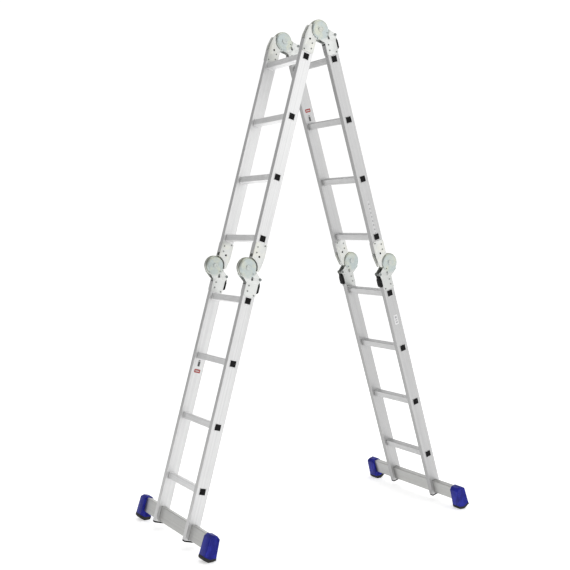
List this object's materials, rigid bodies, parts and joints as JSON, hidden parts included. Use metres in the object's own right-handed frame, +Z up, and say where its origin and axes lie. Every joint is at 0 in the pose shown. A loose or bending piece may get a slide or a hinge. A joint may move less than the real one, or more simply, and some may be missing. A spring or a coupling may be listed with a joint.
{
  "type": "multi position ladder",
  "caption": "Folding aluminium ladder of four hinged sections standing as a trestle, with locking hinges, square rungs and two stabiliser bars on plastic feet.",
  "frame": {"origin": "on the floor, midway between the two legs and on the middle of the rungs' length", "axes": "+Z up, +Y along the rungs, +X from the front leg towards the rear leg"},
  "size_m": [1.42, 0.728, 2.2923],
  "materials": {
    "aluminium": "mill finish extrusion with a fine drawn grain",
    "zinc_steel": "pressed steel, bright zinc plate with a faint yellow-green tint",
    "black_plastic": "fine moulded grain",
    "black_rubber": "matt, ribbed underneath",
    "blue_plastic": "moulded, slightly glossy royal blue"
  },
  "bodies": {
    "front_upper": {"front_upper_stile_left": "aluminium", "front_upper_stile_right": "aluminium", "front_upper_rung_1": "aluminium", "front_upper_rung_2": "aluminium", "front_upper_rung_3": "aluminium", "front_upper_rung_4": "aluminium", "front_left_inner_arm": "zinc_steel", "front_right_inner_arm": "zinc_steel", "top_left_inner_arm": "zinc_steel", "top_right_inner_arm": "zinc_steel"},
    "front_lower": {"front_lower_stile_left": "aluminium", "front_lower_stile_right": "aluminium", "front_lower_rung_1": "aluminium", "front_lower_rung_2": "aluminium", "front_lower_rung_3": "aluminium", "front_lower_rung_4": "aluminium", "front_stabiliser_bar": "aluminium", "front_foot_left": "blue_plastic", "front_foot_right": "blue_plastic", "front_left_outer_arm": "zinc_steel", "front_left_pivot_pin": "zinc_steel", "front_right_outer_arm": "zinc_steel", "front_right_pivot_pin": "zinc_steel"},
    "rear_upper": {"rear_upper_stile_left": "aluminium", "rear_upper_stile_right": "aluminium", "rear_upper_rung_1": "aluminium", "rear_upper_rung_2": "aluminium", "rear_upper_rung_3": "aluminium", "rear_upper_rung_4": "aluminium", "rear_left_inner_arm": "zinc_steel", "rear_right_inner_arm": "zinc_steel", "top_left_outer_arm": "zinc_steel", "top_left_pivot_pin": "zinc_steel", "top_right_outer_arm": "zinc_steel", "top_right_pivot_pin": "zinc_steel"},
    "rear_lower": {"rear_lower_stile_left": "aluminium", "rear_lower_stile_right": "aluminium", "rear_lower_rung_1": "aluminium", "rear_lower_rung_2": "aluminium", "rear_lower_rung_3": "aluminium", "rear_lower_rung_4": "aluminium", "rear_stabiliser_bar": "aluminium", "rear_foot_left": "blue_plastic", "rear_foot_right": "blue_plastic", "rear_left_outer_arm": "zinc_steel", "rear_left_pivot_pin": "zinc_steel", "rear_right_outer_arm": "zinc_steel", "rear_right_pivot_pin": "zinc_steel"},
    "front_left_lever": {"front_left_release_lever": "zinc_steel", "front_left_lever_grip": "black_plastic"},
    "front_right_lever": {"front_right_release_lever": "zinc_steel", "front_right_lever_grip": "black_plastic"},
    "rear_left_lever": {"rear_left_release_lever": "zinc_steel", "rear_left_lever_grip": "black_plastic"},
    "rear_right_lever": {"rear_right_release_lever": "zinc_steel", "rear_right_lever_grip": "black_plastic"},
    "top_left_lever": {"top_left_release_lever": "zinc_steel", "top_left_lever_grip": "black_plastic"},
    "top_right_lever": {"top_right_release_lever": "zinc_steel", "top_right_lever_grip": "black_plastic"}
  },
  "joints": [
    {"name": "top_fold", "type": "hinge", "parent": "front_upper", "child": "rear_upper", "pos_m": [0, 0, 2.2473], "axis": [0, 1, 0], "range_deg": [-147.8, 31.7]},
    {"name": "front_mid_fold", "type": "hinge", "parent": "front_upper", "child": "front_lower", "pos_m": [-0.3836, 0, 1.1923], "axis": [0, 1, 0], "range_deg": [0, 180]},
    {"name": "rear_mid_fold", "type": "hinge", "parent": "rear_upper", "child": "rear_lower", "pos_m": [0.3836, 0, 1.1923], "axis": [0, -1, 0], "range_deg": [0, 180]},
    {"name": "top_left_lever_pull", "type": "hinge", "parent": "rear_upper", "child": "top_left_lever", "pos_m": [0.0775, 0.1575, 2.2312], "axis": [0, 1, 0], "range_deg": [-12, 0], "stiffness_Nm_per_rad": 1.5, "springref_deg": 14.32},
    {"name": "top_right_lever_pull", "type": "hinge", "parent": "rear_upper", "child": "top_right_lever", "pos_m": [0.0775, -0.1575, 2.2312], "axis": [0, 1, 0], "range_deg": [-12, 0], "stiffness_Nm_per_rad": 1.5, "springref_deg": 14.32},
    {"name": "front_left_lever_pull", "type": "hinge", "parent": "front_lower", "child": "front_left_lever", "pos_m": [-0.3266, 0.1575, 1.1373], "axis": [0, 1, 0], "range_deg": [-12, 0], "stiffness_Nm_per_rad": 1.5, "springref_deg": 14.32},
    {"name": "front_right_lever_pull", "type": "hinge", "parent": "front_lower", "child": "front_right_lever", "pos_m": [-0.3266, -0.1575, 1.1373], "axis": [0, 1, 0], "range_deg": [-12, 0], "stiffness_Nm_per_rad": 1.5, "springref_deg": 14.32},
    {"name": "rear_left_lever_pull", "type": "hinge", "parent": "rear_lower", "child": "rear_left_lever", "pos_m": [0.3266, 0.1575, 1.1373], "axis": [0, -1, 0], "range_deg": [-12, 0], "stiffness_Nm_per_rad": 1.5, "springref_deg": 14.32},
    {"name": "rear_right_lever_pull", "type": "hinge", "parent": "rear_lower", "child": "rear_right_lever", "pos_m": [0.3266, -0.1575, 1.1373], "axis": [0, -1, 0], "range_deg": [-12, 0], "stiffness_Nm_per_rad": 1.5, "springref_deg": 14.32}
  ]
}
